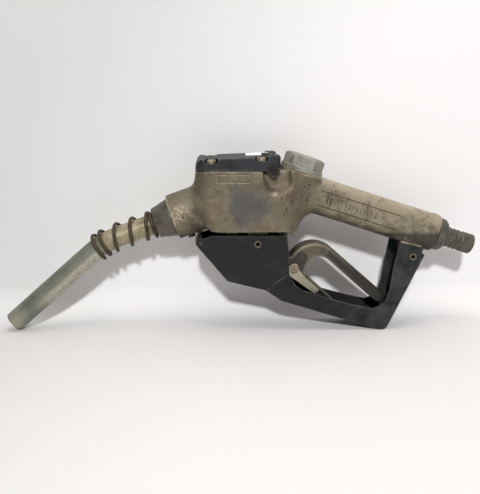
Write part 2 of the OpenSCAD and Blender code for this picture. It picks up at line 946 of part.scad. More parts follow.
module inlet_strainer() {
    color("#b7b5aa")
        on_handle(handle_length - 19)
            difference() {
                cylinder(h = 2.6, r = 12 - play);
                for (a = [0:60:300])
                    rotate([0, 0, a])
                        translate([6.2, 0, -1])
                            cylinder(h = 5, r = 2.4);
                translate([0, 0, -1])
                    cylinder(h = 5, r = 2.4);
            }
}

valve_body();
diaphragm_cover();
cover_screws();
diaphragm();
diaphragm_plate();
release_pin();
diaphragm_spring();
trip_sleeve();
trip_stem();
trip_balls();
trip_spring();
lever();
lever_pin();
hold_open_latch();
latch_rod();
latch_rivet();
valve_cap();
cap_seal();
main_spring();
main_poppet();
poppet_disc();
valve_stem();
stem_gland();
stem_seal();
check_seat();
check_poppet();
check_spring();
spout_nut();
spout_seal();
spout_tube();
vent_tube();
anchor_spring();
spout_set_screw();
hand_guard();
guard_front_rivets();
guard_rear_rivet();
guard_nose_pin();
hose_tail();
hose_tail_seal();
inlet_strainer();
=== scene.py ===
"""A worn automatic fuel nozzle, standing on its spout tip and hand guard.

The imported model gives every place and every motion. This script adds the looks: the sand
casting with its blended corners, the drawn spout with its rusty spring, the scuffed black
guard and cover, and the materials. Lengths are in metres, angles in degrees.
"""

import math

import bmesh
import bpy
import numpy as np
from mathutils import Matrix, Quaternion, Vector, noise


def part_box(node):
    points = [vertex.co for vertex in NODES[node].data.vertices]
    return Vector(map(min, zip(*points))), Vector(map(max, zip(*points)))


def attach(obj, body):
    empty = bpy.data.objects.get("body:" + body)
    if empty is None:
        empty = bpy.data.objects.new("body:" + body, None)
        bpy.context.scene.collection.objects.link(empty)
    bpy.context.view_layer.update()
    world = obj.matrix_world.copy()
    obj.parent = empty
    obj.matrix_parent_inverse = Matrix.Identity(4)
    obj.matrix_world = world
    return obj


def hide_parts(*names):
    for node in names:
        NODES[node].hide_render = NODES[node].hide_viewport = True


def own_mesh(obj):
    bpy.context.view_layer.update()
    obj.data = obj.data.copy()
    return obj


MM = 0.001
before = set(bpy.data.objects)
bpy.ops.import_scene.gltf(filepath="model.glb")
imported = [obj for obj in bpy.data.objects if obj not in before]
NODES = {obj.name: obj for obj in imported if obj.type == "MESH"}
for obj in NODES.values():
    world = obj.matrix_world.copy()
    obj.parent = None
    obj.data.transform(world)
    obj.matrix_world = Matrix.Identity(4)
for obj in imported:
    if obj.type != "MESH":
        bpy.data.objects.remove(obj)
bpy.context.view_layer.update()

# The middle-plane geometry that the pieces share, as in the part: slopes and reference points
UPPER_SLOPE = 19.5
LOWER_SLOPE = 41.3
HANDLE_SLOPE = 17.9
NOSE_END = Vector((-72.3, 0, 116.9)) * MM
HANDLE_START = Vector((110.2, 0, 127)) * MM
SPOUT_RADIUS = 10.5 * MM
SPOUT_WALL = 1.3 * MM
BEND_AT = 73.35 * MM
BEND_RADIUS = 80 * MM
LOWER_LENGTH = 127.7 * MM
HANDLE_HALF_WIDTH = 17 * MM
BODY_HALF_WIDTH = 28 * MM
ACROSS = Vector((0, 1, 0))
SIDES = {-1: "near", 1: "far"}  # the latch rod is on the near side, towards the camera


def ahead(slope):
    """The direction towards the tip for a slope."""
    a = math.radians(slope)
    return Vector((-math.cos(a), 0, -math.sin(a)))


def above(slope):
    """Square to that direction, on the upper side."""
    a = math.radians(slope)
    return Vector((-math.sin(a), 0, math.cos(a)))


def add_object(name, data):
    """A new object in the scene."""
    made = bpy.data.objects.new(name, data)
    bpy.context.scene.collection.objects.link(made)
    return made


# ---------------------------------------------------------------- stage, camera and light

def add_camera():
    """A camera a little above and left of the object's middle, 0.7 m in front of it."""
    eye = Vector((-42.8, -700.4, 242.9)) * MM
    yaw, pitch, roll = math.radians(3.19), math.radians(13.08), math.radians(0.141)
    view = Vector((math.sin(yaw) * math.cos(pitch), math.cos(yaw) * math.cos(pitch),
                   -math.sin(pitch)))
    data = bpy.data.cameras.new("camera")
    data.lens = 50.85
    data.shift_y = 0.0100
    data.clip_start = 0.05
    camera = add_object("camera", data)
    camera.location = eye
    camera.rotation_mode = "QUATERNION"
    camera.rotation_quaternion = view.to_track_quat("-Z", "Y") @ Quaternion((0, 0, 1), roll)
    bpy.context.scene.camera = camera


def add_sweep():
    """The pale paper sweep: a floor that curves up into a wall just behind the object."""
    floor_front, wall_top, half_width = -1.6, 1.3, 2.2
    bend_start, bend_radius, bend_step = 0.020, 0.032, 5
    bend = [(bend_start + bend_radius * math.sin(a), bend_radius * (1 - math.cos(a)))
            for a in [math.radians(turn) for turn in range(0, 91, bend_step)]]
    section = [(floor_front, 0)] + bend + [(bend_start + bend_radius, wall_top)]
    mesh = bpy.data.meshes.new("paper_sweep")
    points = [(x, y, z) for y, z in section for x in (-half_width, half_width)]
    faces = [(2 * k, 2 * k + 1, 2 * k + 3, 2 * k + 2) for k in range(len(section) - 1)]
    mesh.from_pydata(points, [], faces)
    mesh.shade_smooth()
    mesh.materials.append(paper())
    sweep = add_object("paper_sweep", mesh)


def add_lamp(name, offset, size, energy, colour):
    """A soft round lamp aimed at the middle of the object."""
    data = bpy.data.lights.new(name, "AREA")
    data.shape = "DISK"
    data.size = size
    data.energy = energy
    data.color = colour
    lamp = add_object(name, data)
    target = Vector((0, 0, 0.09))
    lamp.location = target + Vector(offset)
    lamp.rotation_mode = "QUATERNION"
    lamp.rotation_quaternion = (target - lamp.location).to_track_quat("-Z", "Y")
    return lamp


def add_back_fill(pieces):
    """A soft lamp for the far side. It lights only the object, and the paper doesn't block it."""
    lamp = add_lamp("back_fill", offset=(0.35, 1.90, 0.35), size=0.90, energy=18,
                    colour=(1.0, 0.97, 0.95))
    lamp.visible_glossy = False
    lit = bpy.data.collections.new("lit_from_behind")
    for piece in pieces:
        lit.objects.link(piece)
    lamp.light_linking.receiver_collection = lit
    lamp.light_linking.blocker_collection = lit


def add_light():
    """A key from the upper front, a soft lamp overhead, and an even pale surround."""
    add_lamp("key", offset=(-0.14, -2.05, 1.25), size=0.18, energy=40,
             colour=(1.0, 0.995, 0.985))
    add_lamp("overhead", offset=(0.05, -0.25, 1.50), size=0.90, energy=8,
             colour=(1.0, 0.905, 0.89))
    world = bpy.data.worlds.new("surround")
    world.use_nodes = True
    tree = world.node_tree
    background = tree.nodes["Background"]
    background.inputs["Color"].default_value = (1.0, 0.80, 0.79, 1)
    background.inputs["Strength"].default_value = 0.088
    # What the camera sees beyond the paper's edges is as pale as the paper
    seen = tree.nodes.new("ShaderNodeBackground")
    seen.inputs["Color"].default_value = (0.80, 0.79, 0.78, 1)
    choice = tree.nodes.new("ShaderNodeMixShader")
    ray = tree.nodes.new("ShaderNodeLightPath")
    tree.links.new(ray.outputs["Is Camera Ray"], choice.inputs[0])
    tree.links.new(background.outputs[0], choice.inputs[1])
    tree.links.new(seen.outputs[0], choice.inputs[2])
    tree.links.new(choice.outputs[0], tree.nodes["World Output"].inputs["Surface"])
    bpy.context.scene.world = world
    bpy.context.scene.view_settings.view_transform = "Standard"


# ---------------------------------------------------------------- materials

def tone(red, green, blue):
    """A display colour, 0 to 255, as the linear colour that shaders take."""
    def linear(c):
        c = c / 255
        return c / 12.92 if c <= 0.04045 else ((c + 0.055) / 1.055) ** 2.4
    return (linear(red), linear(green), linear(blue), 1)


class Graph:
    """A node material under construction. Each helper returns an output socket."""

    def __init__(self, name, **uniform):
        self.material = bpy.data.materials.new(name)
        self.material.use_nodes = True
        self.tree = self.material.node_tree
        self.shader = self.tree.nodes["Principled BSDF"]
        for socket, value in uniform.items():
            self.shader.inputs[socket.replace("_", " ")].default_value = value
        self.place = self.node("ShaderNodeTexCoord").outputs["Object"]

    def node(self, kind, **settings):
        """A new node with some of its properties set."""
        made = self.tree.nodes.new(kind)
        for key, value in settings.items():
            setattr(made, key, value)
        return made

    def put(self, value, socket):
        """Links a socket, or sets a plain value."""
        if isinstance(value, bpy.types.NodeSocket):
            self.tree.links.new(value, socket)
        else:
            socket.default_value = value

    def set(self, **inputs):
        """Links or sets inputs of the surface shader, named with underscores for spaces."""
        for name, value in inputs.items():
            self.put(value, self.shader.inputs[name.replace("_", " ")])

    def math(self, operation, a, b, clamp=False):
        made = self.node("ShaderNodeMath", operation=operation, use_clamp=clamp)
        self.put(a, made.inputs[0])
        self.put(b, made.inputs[1])
        return made.outputs[0]

    def times(self, a, b):
        return self.math("MULTIPLY", a, b)

    def most(self, a, b):
        return self.math("MAXIMUM", a, b)

    def band(self, value, low, high, start=0.0, end=1.0):
        """Smoothly from start at low to end at high."""
        made = self.node("ShaderNodeMapRange", interpolation_type="SMOOTHSTEP")
        for name, v in (("Value", value), ("From Min", low), ("From Max", high),
                        ("To Min", start), ("To Max", end)):
            self.put(v, made.inputs[name])
        return made.outputs["Result"]

    def mix(self, amount, a, b):
        """The colour a where amount is 0, and b where it is 1."""
        made = self.node("ShaderNodeMix", data_type="RGBA")
        self.put(amount, made.inputs[0])
        self.put(a, made.inputs[6])
        self.put(b, made.inputs[7])
        return made.outputs[2]

    def tint(self, colour, mask, amount, towards):
        """The colour taken part of the way towards another, where the mask is 1."""
        return self.mix(self.times(mask, amount), colour, towards)

    def noise(self, size, detail=3.0, rough=0.55, stretch=(1, 1, 1), seed=0.0):
        """Cloudy noise whose features are about size metres across."""
        made = self.node("ShaderNodeTexNoise")
        made.inputs["Scale"].default_value = 1.0
        made.inputs["Detail"].default_value = detail
        made.inputs["Roughness"].default_value = rough
        self.put(self.scaled(size, stretch, seed), made.inputs["Vector"])
        return made.outputs["Fac"]

    def cells(self, size, seed):
        """Distance to the nearest of a cloud of points about size metres apart."""
        made = self.node("ShaderNodeTexVoronoi")
        made.inputs["Scale"].default_value = 1.0
        self.put(self.scaled(size, (1, 1, 1), seed), made.inputs["Vector"])
        return made.outputs["Distance"]

    def scaled(self, size, stretch, seed):
        """The place counted in steps of size, longer along a stretched axis and moved by seed."""
        made = self.node("ShaderNodeMapping")
        self.put(self.place, made.inputs["Vector"])
        made.inputs["Scale"].default_value = [1 / (size * factor) for factor in stretch]
        made.inputs["Location"].default_value = (seed, seed * 1.7, seed * 0.6)
        return made.outputs["Vector"]

    def near(self, centre, radius, soft):
        """1 inside a ball in the object's place, fading to 0 across its rim."""
        made = self.node("ShaderNodeVectorMath", operation="DISTANCE")
        self.put(self.place, made.inputs[0])
        self.put(tuple(centre), made.inputs[1])
        return self.band(made.outputs["Value"], radius * (1 - soft), radius, 1.0, 0.0)

    def near_both(self, x, y, z, radius, soft):
        """The same around a place on each side of the object."""
        return self.most(*[self.near((x, side * y, z), radius, soft) for side in SIDES])

    def along(self, direction, origin=(0, 0, 0)):
        """Distance from origin along a direction."""
        apart = self.node("ShaderNodeVectorMath", operation="SUBTRACT")
        self.put(self.place, apart.inputs[0])
        self.put(tuple(origin), apart.inputs[1])
        dot = self.node("ShaderNodeVectorMath", operation="DOT_PRODUCT")
        self.put(apart.outputs[0], dot.inputs[0])
        self.put(tuple(direction), dot.inputs[1])
        return dot.outputs["Value"]

    def facing(self, direction):
        """How much the surface faces a direction fixed in the object."""
        dot = self.node("ShaderNodeVectorMath", operation="DOT_PRODUCT")
        self.put(self.node("ShaderNodeTexCoord").outputs["Normal"], dot.inputs[0])
        self.put(tuple(direction), dot.inputs[1])
        return dot.outputs["Value"]

    def edges(self, reach):
        """1 on outer edges, within about reach metres."""
        made = self.node("ShaderNodeAmbientOcclusion", samples=8, inside=True, only_local=True)
        made.inputs["Distance"].default_value = reach
        return self.band(made.outputs["AO"], 0.95, 0.45)

    def corners(self, reach):
        """1 in hollow corners and under neighbours, within about reach metres."""
        made = self.node("ShaderNodeAmbientOcclusion", samples=8)
        made.inputs["Distance"].default_value = reach
        return self.band(made.outputs["AO"], 0.85, 0.3)

    def attribute(self, name):
        """A value that is stored on the mesh."""
        return self.node("ShaderNodeAttribute", attribute_name=name).outputs["Fac"]

    def bump(self, height, distance, strength):
        """A surface direction disturbed by a height, which spans distance metres."""
        made = self.node("ShaderNodeBump")
        made.inputs["Distance"].default_value = distance
        made.inputs["Strength"].default_value = strength
        self.put(height, made.inputs["Height"])
        return made.outputs["Normal"]


def paper():
    """Matt white paper, clear from behind so that it never hides the object."""
    g = Graph("paper", Roughness=1.0, Specular_IOR_Level=0.0)
    plain, shaded = (0.88, 0.885, 0.885, 1), (0.64, 0.655, 0.65, 1)
    # Painted shade: the paper is painted darker towards the upper left
    towards_upper_left = g.band(g.along((-0.8, 0, 0.6)), 0.02, 0.36)
    g.set(Base_Color=g.mix(towards_upper_left, plain, shaded))
    clear = g.node("ShaderNodeBsdfTransparent")
    choice = g.node("ShaderNodeMixShader")
    g.put(g.node("ShaderNodeNewGeometry").outputs["Backfacing"], choice.inputs[0])
    g.put(g.shader.outputs[0], choice.inputs[1])
    g.put(clear.outputs[0], choice.inputs[2])
    g.put(choice.outputs[0], g.tree.nodes["Material Output"].inputs["Surface"])
    return g.material


def cast_body():
    """Tarnished sand-cast aluminium: tan grain, worn bright ridges, brown stains, painted shade in
    corners, creases and undersides, and a painted lighter top on the handle.
    """
    g = Graph("cast_body", Metallic=0.35)
    cloud = g.noise(0.034, detail=4, rough=0.6)
    patches = g.noise(0.016, detail=5, rough=0.65, seed=3)
    speckle = g.noise(0.0022, detail=4, rough=0.7, seed=7)
    grain = g.noise(0.0009, detail=3, rough=0.6, seed=1)
    length, level = g.along((1, 0, 0)), g.along((0, 0, 1))
    colour = g.mix(g.band(cloud, 0.35, 0.65), tone(101, 93, 76), tone(124, 117, 98))
    colour = g.tint(colour, g.band(patches, 0.46, 0.62), 0.8, tone(104, 90, 74))
    colour = g.tint(colour, g.band(patches, 0.48, 0.34), 0.6, tone(100, 99, 76))
    # A smoother bluish patch in the middle of each side, where the skin was rubbed off
    wobble = g.math("SUBTRACT", g.noise(0.016, detail=4, seed=5), 0.5)
    for side in SIDES:
        middle = g.near((0.001, side * 0.028, 0.133), 0.036, soft=0.85)
        patch = g.band(g.math("ADD", middle, g.times(wobble, 1.6), clamp=True), 0.10, 1.0)
        colour = g.tint(colour, patch, 0.95, tone(80, 81, 80))
    # The front column is darker and cooler. The handle's upward faces are painted lighter, a
    # painted light from above, and its grip has lighter worn patches
    front = g.times(g.band(length, -0.020, -0.042), g.band(level, 0.13, 0.16))
    colour = g.tint(colour, front, 0.75, tone(84, 81, 66))
    top = g.times(g.band(g.facing((0, 0, 1)), 0.25, 0.9), g.band(length, 0.05, 0.09))
    colour = g.tint(colour, top, 0.85, tone(174, 166, 147))
    green = g.near((0.165, -0.018, 0.1115), 0.012, soft=0.7)
    colour = g.tint(colour, green, 0.7, tone(115, 119, 101))
    grip = g.times(g.band(length, 0.070, 0.100), g.band(patches, 0.66, 0.40))
    colour = g.tint(colour, grip, 0.75, tone(152, 143, 121))
    scraped = g.times(g.near((-0.064, -0.022, 0.124), 0.012, soft=0.6),
                      g.band(speckle, 0.46, 0.58))
    colour = g.tint(colour, scraped, 0.75, tone(184, 170, 142))
    # Dark deposits and painted shade in the hollows, less of both in the screw pockets, and stains
    # anywhere
    ridge = g.attribute("ridge")
    hollow = g.most(g.band(ridge, -0.02, -0.6), g.corners(0.007))
    in_pocket = g.near_both(0.034, 0.0245, 0.1525, 0.020, soft=0.35)
    hollow = g.times(hollow, g.math("SUBTRACT", 1.0, g.times(in_pocket, 0.75)))
    colour = g.tint(colour, in_pocket, 0.35, tone(112, 97, 80))
    colour = g.tint(colour, hollow, 0.9, tone(54, 44, 32))
    stain = g.band(g.noise(0.011, detail=6, rough=0.72, seed=11), 0.52, 0.68)
    colour = g.tint(colour, stain, 0.65, tone(70, 59, 44))
    # Bright worn metal on the ridges between the top and bottom edges; on each pocket's lip the
    # brightness is wear and a painted highlight
    between_edges = g.times(g.band(level, 0.108, 0.114), g.band(level, 0.1645, 0.160))
    lip_wear_and_highlight = g.near_both(0.029, 0.0275, 0.1455, 0.0055, soft=0.8)
    worn = g.times(g.band(ridge, 0.22, 0.75), g.band(speckle, 0.3, 0.6))
    worn = g.most(g.times(worn, g.band(between_edges, 0.0, 1.0, 0.25, 1.0)), g.times(lip_wear_and_highlight, 0.8))
    colour = g.tint(colour, worn, 0.9, tone(172, 162, 138))
    # Small dark blow holes, thicker near the valve boss and on the nose
    pitted = g.most(g.near((0.050, -0.026, 0.140), 0.026, soft=0.6),
                    g.near((-0.068, -0.02, 0.124), 0.017, soft=0.6))
    pitted = g.band(g.math("ADD", g.noise(0.02, seed=9), g.times(pitted, 0.3)), 0.55, 0.72)
    pits = g.times(g.band(g.cells(0.0046, seed=2), 0.30, 0.14), pitted)
    colour = g.tint(colour, pits, 0.85, tone(51, 39, 28))
    colour = g.tint(colour, g.band(speckle, 0.60, 0.72), 0.4, tone(166, 158, 138))
    colour = g.tint(colour, g.band(speckle, 0.42, 0.28), 0.55, tone(60, 51, 39))
    # Painted shade: the lugs and the band under the block are painted dark, and faces turned
    # downwards are painted darker. Where the nose and the boss join the block and in the creases
    # beside it the brown is partly stains and partly painted shade
    low = g.band(level, 0.1045, 0.099)
    colour = g.tint(colour, low, 0.85, tone(38, 35, 31))
    under = g.band(g.facing((0, 0.2, -1)), 0.15, 0.85)
    colour = g.tint(colour, under, 0.55, tone(52, 45, 37))
    nose_root = g.near((-0.046, -0.022, 0.116), 0.022, soft=0.8)
    boss_root = g.near((0.050, -0.020, 0.142), 0.016, soft=0.8)
    crease = g.near_both(-0.0475, 0.022, 0.128, 0.013, soft=0.8)
    root_stains_and_shade = g.most(g.most(nose_root, g.times(boss_root, 0.6)), g.times(crease, 0.8))
    brown = g.times(root_stains_and_shade, g.band(g.noise(0.008, detail=5, rough=0.7, seed=13), 0.35, 0.6))
    colour = g.tint(colour, brown, 0.7, tone(62, 50, 38))
    g.set(Base_Color=colour)
    g.set(Roughness=g.band(g.math("SUBTRACT", cloud, g.times(worn, 0.3)), 0.2, 0.75, 0.48, 0.72))
    skin = g.math("ADD", g.times(grain, 0.5), speckle)
    height = g.math("SUBTRACT", skin, g.times(pits, 2.2))
    g.set(Normal=g.bump(height, 0.16 * MM, 0.9))
    return g.material


def black_plastic(name, base, scuff, gloss=0.42, dusty=None, dirt_and_shade_spot=None):
    """Moulded black plastic: fine leather-like grain, grey scuffs on edges, dust in corners."""
    g = Graph(name, Specular_IOR_Level=0.28)
    cloud = g.noise(0.03, detail=4, seed=4)
    fine = g.noise(0.0011, detail=3, rough=0.6)
    scratch = g.noise(0.004, detail=5, rough=0.7, stretch=(5, 1, 0.5), seed=6)
    lighter = tuple(min(1.0, c * 1.5 + 0.003) for c in base[:3]) + (1,)
    colour = g.mix(g.band(cloud, 0.3, 0.7), base, lighter)
    dust = g.band(g.noise(0.018, detail=6, rough=0.7, seed=8), 0.52, 0.75)
    colour = g.tint(colour, dust, 0.16, tone(84, 84, 74))
    if dusty:
        haze = g.times(g.near(dusty, 0.075, soft=0.6),
                       g.band(g.noise(0.012, detail=5, seed=9), 0.3, 0.65))
        colour = g.tint(colour, haze, 0.5, tone(70, 76, 72))
    # Painted shade with soiling: a dark spot round a given place
    if dirt_and_shade_spot:
        colour = g.mix(g.near(dirt_and_shade_spot, 0.0125, soft=0.6), colour, tone(20, 15, 11))
    wear = g.times(g.edges(1.6 * MM), g.band(g.noise(0.006, detail=4, seed=2), 0.35, 0.6))
    lines = g.times(g.band(scratch, 0.66, 0.74), 0.35)
    colour = g.tint(colour, g.most(wear, lines), 0.6, scuff)
    g.set(Base_Color=colour)
    g.set(Roughness=g.band(g.math("ADD", cloud, g.times(fine, 0.4)), 0.35, 0.9, gloss, gloss + 0.2))
    g.set(Normal=g.bump(g.math("ADD", fine, g.times(scratch, 0.7)), 0.07 * MM, 0.8))
    return g.material


def worn_metal(name, dark, light, metal=0.6, rough=(0.35, 0.6), grime_and_shade=None, size=0.006,
               wear=0.7, reach=0.9, grain=0.05):
    """Plain metal hardware: clouded tone, brighter edges, soiling and painted shade in corners,
    fine tool marks.
    """
    g = Graph(name, Metallic=metal)
    cloud = g.noise(size, detail=5, rough=0.65, seed=size * 900)
    fine = g.noise(0.0007, detail=3, rough=0.6)
    colour = g.mix(g.band(cloud, 0.32, 0.68), dark, light)
    # Painted shade: the corners are darkened together with the soiling
    dirt_and_corner_shade = g.most(g.corners(3 * MM), g.band(g.noise(size * 0.6, detail=6, seed=5), 0.58, 0.75))
    colour = g.tint(colour, dirt_and_corner_shade, 0.7, grime_and_shade or tone(62, 52, 38))
    bright = tuple(min(1.0, c * 1.5 + 0.02) for c in light[:3]) + (1,)
    colour = g.tint(colour, g.edges(reach * MM), wear, bright)
    g.set(Base_Color=colour)
    g.set(Roughness=g.band(cloud, 0.25, 0.8, *rough))
    g.set(Normal=g.bump(g.math("ADD", fine, g.times(cloud, 1.5)), grain * MM, 0.8))
    return g.material


def rubber():
    """Black nitrile rubber with a dusty bloom."""
    g = Graph("rubber")
    bloom = g.noise(0.004, detail=4)
    g.set(Base_Color=g.mix(g.band(bloom, 0.4, 0.8), tone(34, 32, 30), tone(62, 60, 56)))
    g.set(Roughness=g.band(bloom, 0.3, 0.8, 0.6, 0.85))
    g.set(Normal=g.bump(g.noise(0.0006), 0.03 * MM, 0.6))
    return g.material


def spout_metal():
    """The spout: beige under the spring, grey-green beyond the bend, worn bright underneath."""
    g = Graph("spout_metal", Metallic=0.5)
    cloud = g.noise(0.02, detail=5, rough=0.6)
    speckle = g.noise(0.0018, detail=5, rough=0.75, seed=4)
    streak = g.noise(0.006, detail=5, rough=0.65, seed=2)
    reach = g.along(ahead(LOWER_SLOPE), NOSE_END + BEND_AT * ahead(UPPER_SLOPE))
    wobble = g.times(g.math("SUBTRACT", cloud, 0.5), 0.008)
    lower = g.band(g.math("ADD", reach, wobble), -0.004, 0.006)
    upper = g.math("SUBTRACT", 1.0, lower)
    upper_tone = g.mix(g.band(cloud, 0.3, 0.7), tone(140, 130, 105), tone(164, 155, 130))
    lower_tone = g.mix(g.band(cloud, 0.35, 0.65), tone(107, 110, 98), tone(122, 124, 112))
    colour = g.mix(lower, upper_tone, lower_tone)
    # The near lower flank, rubbed and pitted by filler necks
    down = -above(LOWER_SLOPE)
    flank = g.facing((down.x * 0.62, -0.78, down.z * 0.62))
    streaks = g.band(g.math("ADD", streak, g.times(speckle, 0.6)), 0.50, 0.82)
    rub = g.times(g.band(flank, 0.70, 0.93), g.band(reach, 0.108, 0.07))
    rub = g.times(g.times(rub, lower), streaks)
    rub = g.times(rub, g.band(speckle, 0.38, 0.58, 0.35, 1.0))
    colour = g.mix(rub, colour, tone(188, 181, 166))
    tip = g.times(g.band(reach, 0.100, 0.122), g.band(cloud, 0.25, 0.6))
    colour = g.tint(colour, tip, 0.75, tone(158, 156, 141))
    mottle = g.noise(0.008, detail=6, rough=0.7, seed=6)
    colour = g.tint(colour, g.times(g.band(mottle, 0.51, 0.63), upper), 0.65, tone(104, 92, 70))
    colour = g.tint(colour, g.times(g.band(mottle, 0.44, 0.34), upper), 0.6, tone(196, 187, 160))
    specks = g.band(speckle, 0.62, 0.72)
    colour = g.tint(colour, specks, 0.45, tone(76, 70, 55))
    # Painted shade: the spout is darkened in corners, under the spring wire and by the nut
    colour = g.tint(colour, g.corners(0.006), 0.6, tone(69, 58, 41))
    colour = g.tint(colour, g.edges(0.8 * MM), 0.7, tone(145, 143, 129))
    g.set(Base_Color=colour)
    g.set(Roughness=g.band(g.math("SUBTRACT", cloud, g.times(rub, 0.25)), 0.1, 0.75, 0.34, 0.56))
    pitting = g.times(speckle, g.math("ADD", g.times(rub, 1.2), 0.35))
    height = g.math("SUBTRACT", pitting, g.times(specks, 0.3))
    g.set(Normal=g.bump(height, 0.12 * MM, 0.8))
    return g.material


def lever_coat():
    """The lever's dark coat, rubbed through to a tan metal on its hump and along its edges, painted
    darker along the arm and in its corners as painted shade.
    """
    g = Graph("lever_coat", Metallic=0.2)
    cloud = g.noise(0.012, detail=5, rough=0.65)
    fine = g.noise(0.0014, detail=4, rough=0.65, seed=3)
    colour = g.mix(g.band(cloud, 0.3, 0.7), tone(34, 32, 31), tone(50, 47, 45))
    length = g.along((1, 0, 0))
    hump = g.near((0.070, 0, 0.086), 0.030, soft=0.8)
    fork = g.band(length, 0.050, 0.030)
    bare = g.most(g.times(hump, 1.2), g.times(fork, 0.55))
    wobble = g.times(g.math("SUBTRACT", cloud, 0.5), 1.6)
    bare = g.band(g.math("ADD", bare, wobble), 0.45, 0.8)
    colour = g.tint(colour, bare, 0.7, tone(98, 91, 76))
    # Along the arm the edges are less worn, and the arm is painted darker towards its end as
    # painted shade. The tan on the edges is wear and also a painted highlight
    arm = g.band(length, 0.084, 0.128)
    ridge = g.band(g.attribute("ridge"), 0.12, 0.5)
    colour = g.tint(colour, ridge, g.band(arm, 0.0, 1.0, 0.75, 0.22), tone(128, 120, 98))
    colour = g.tint(colour, arm, 0.55, tone(33, 32, 31))
    # Painted shade in the lever's corners
    colour = g.tint(colour, g.corners(5 * MM), 0.7, tone(26, 24, 22))
    colour = g.tint(colour, g.band(fine, 0.62, 0.72), 0.35, tone(132, 124, 104))
    g.set(Base_Color=colour)
    g.set(Roughness=g.band(cloud, 0.25, 0.8, 0.36, 0.6))
    g.set(Normal=g.bump(g.math("ADD", fine, g.times(cloud, 1.2)), 0.09 * MM, 0.8))
    return g.material


MATERIALS = {
    "cast_body": cast_body(),
    "worn_marks": worn_metal("worn_marks", tone(92, 84, 67), tone(150, 142, 120), metal=0.35,
                             rough=(0.4, 0.65), size=0.005, wear=0.8, reach=0.5),
    "groove_dirt_and_shade": worn_metal("groove_dirt_and_shade", tone(48, 42, 34), tone(74, 67, 54), metal=0.1,
                              rough=(0.6, 0.8), size=0.007, wear=0.1),
    "label_white": black_plastic("label_white", tone(222, 220, 214), tone(236, 234, 228)),
    "spout_metal": spout_metal(),
    # The cover's light edge scuffs are wear and also a painted edge highlight
    "black_cover": black_plastic("black_cover", tone(30, 32, 36), tone(106, 108, 110), gloss=0.38,
                                 dirt_and_shade_spot=(0.0271, -0.028, 0.1625)),
    "guard_plastic": black_plastic("guard_plastic", tone(19, 20, 22), tone(92, 91, 84), gloss=0.45,
                                   dusty=(0.155, -0.020, 0.045)),
    "screw_steel": worn_metal("screw_steel", tone(108, 98, 78), tone(150, 140, 118), metal=0.5,
                              wear=0.4),
    "dark_screw": worn_metal("dark_screw", tone(48, 46, 42), tone(78, 74, 66)),
    "rubber_seal": rubber(),
    "brass_fitting": worn_metal("brass_fitting", tone(150, 124, 70), tone(196, 170, 110),
                                metal=0.9),
    "stem_steel": worn_metal("stem_steel", tone(150, 148, 142), tone(196, 194, 188), metal=0.95),
    "spring_steel": worn_metal("spring_steel", tone(120, 118, 112), tone(160, 158, 150),
                               metal=0.9),
    "rusty_wire": worn_metal("rusty_wire", tone(52, 41, 28), tone(88, 77, 56), metal=0.45,
                             rough=(0.45, 0.75), grime_and_shade=tone(44, 31, 22), size=0.004, wear=0.3,
                             grain=0.12),
    "lever_metal": lever_coat(),
    "latch_metal": worn_metal("latch_metal", tone(139, 136, 118), tone(172, 168, 150), metal=0.5,
                              grime_and_shade=tone(108, 100, 76), size=0.008),
    "rivet_steel": worn_metal("rivet_steel", tone(84, 76, 64), tone(112, 104, 90), metal=0.6,
                              wear=0.35, grime_and_shade=tone(104, 78, 56), size=0.003),
    "cap_metal": worn_metal("cap_metal", tone(122, 121, 112), tone(154, 153, 142), metal=0.45,
                            rough=(0.4, 0.6), grime_and_shade=tone(104, 100, 82), size=0.011, reach=1.4,
                            grain=0.09),
    "nut_metal": worn_metal("nut_metal", tone(74, 71, 62), tone(98, 94, 82), metal=0.45,
                            rough=(0.4, 0.6), size=0.009, grain=0.08),
    "tail_metal": worn_metal("tail_metal", tone(72, 71, 64), tone(98, 96, 86), metal=0.5,
                             rough=(0.42, 0.65), grime_and_shade=tone(70, 60, 44), size=0.007, grain=0.1),
}


# ---------------------------------------------------------------- mesh tools


def dress(piece, body, slot_name, *nodes):
    """Gives a new piece its body, its finish and the CAD nodes that it stands for."""
    piece.data.materials.clear()
    piece.data.materials.append(MATERIALS[slot_name])
    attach(piece, body)
    if nodes:
        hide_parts(*nodes)


def welded(node):
    """A copy of a CAD node's mesh with its seams joined and its flat faces whole."""
    bm = bmesh.new()
    bm.from_mesh(NODES[node].data)
    bmesh.ops.remove_doubles(bm, verts=bm.verts, dist=2e-6)
    bmesh.ops.dissolve_limit(bm, angle_limit=math.radians(0.6), verts=bm.verts, edges=bm.edges)
    for face in bm.faces:
        face.smooth = True
    mesh = bpy.data.meshes.new(node + "_skin")
    bm.to_mesh(mesh)
    bm.free()
    return mesh


def bake(piece):
    """Applies the piece's modifiers to its mesh."""
    graph = bpy.context.evaluated_depsgraph_get()
    mesh = bpy.data.meshes.new_from_object(piece.evaluated_get(graph))
    piece.modifiers.clear()
    old = piece.data
    piece.data = mesh
    bpy.data.meshes.remove(old)


def make_eased(node, radius, body, slot_name):
    """A CAD node with every hard edge rounded to a radius, as a piece of its own."""
    piece = add_object(node + "_eased", welded(node))
    bevel = piece.modifiers.new("edges", "BEVEL")
    bevel.width = radius
    bevel.segments = 3
    bevel.limit_method = "ANGLE"
    bevel.angle_limit = math.radians(32)
    bevel.miter_outer = "MITER_ARC"
    bevel.use_clamp_overlap = True
    flat = piece.modifiers.new("flat faces", "WEIGHTED_NORMAL")
    flat.keep_sharp = False
    bake(piece)
    dress(piece, body, slot_name, node)


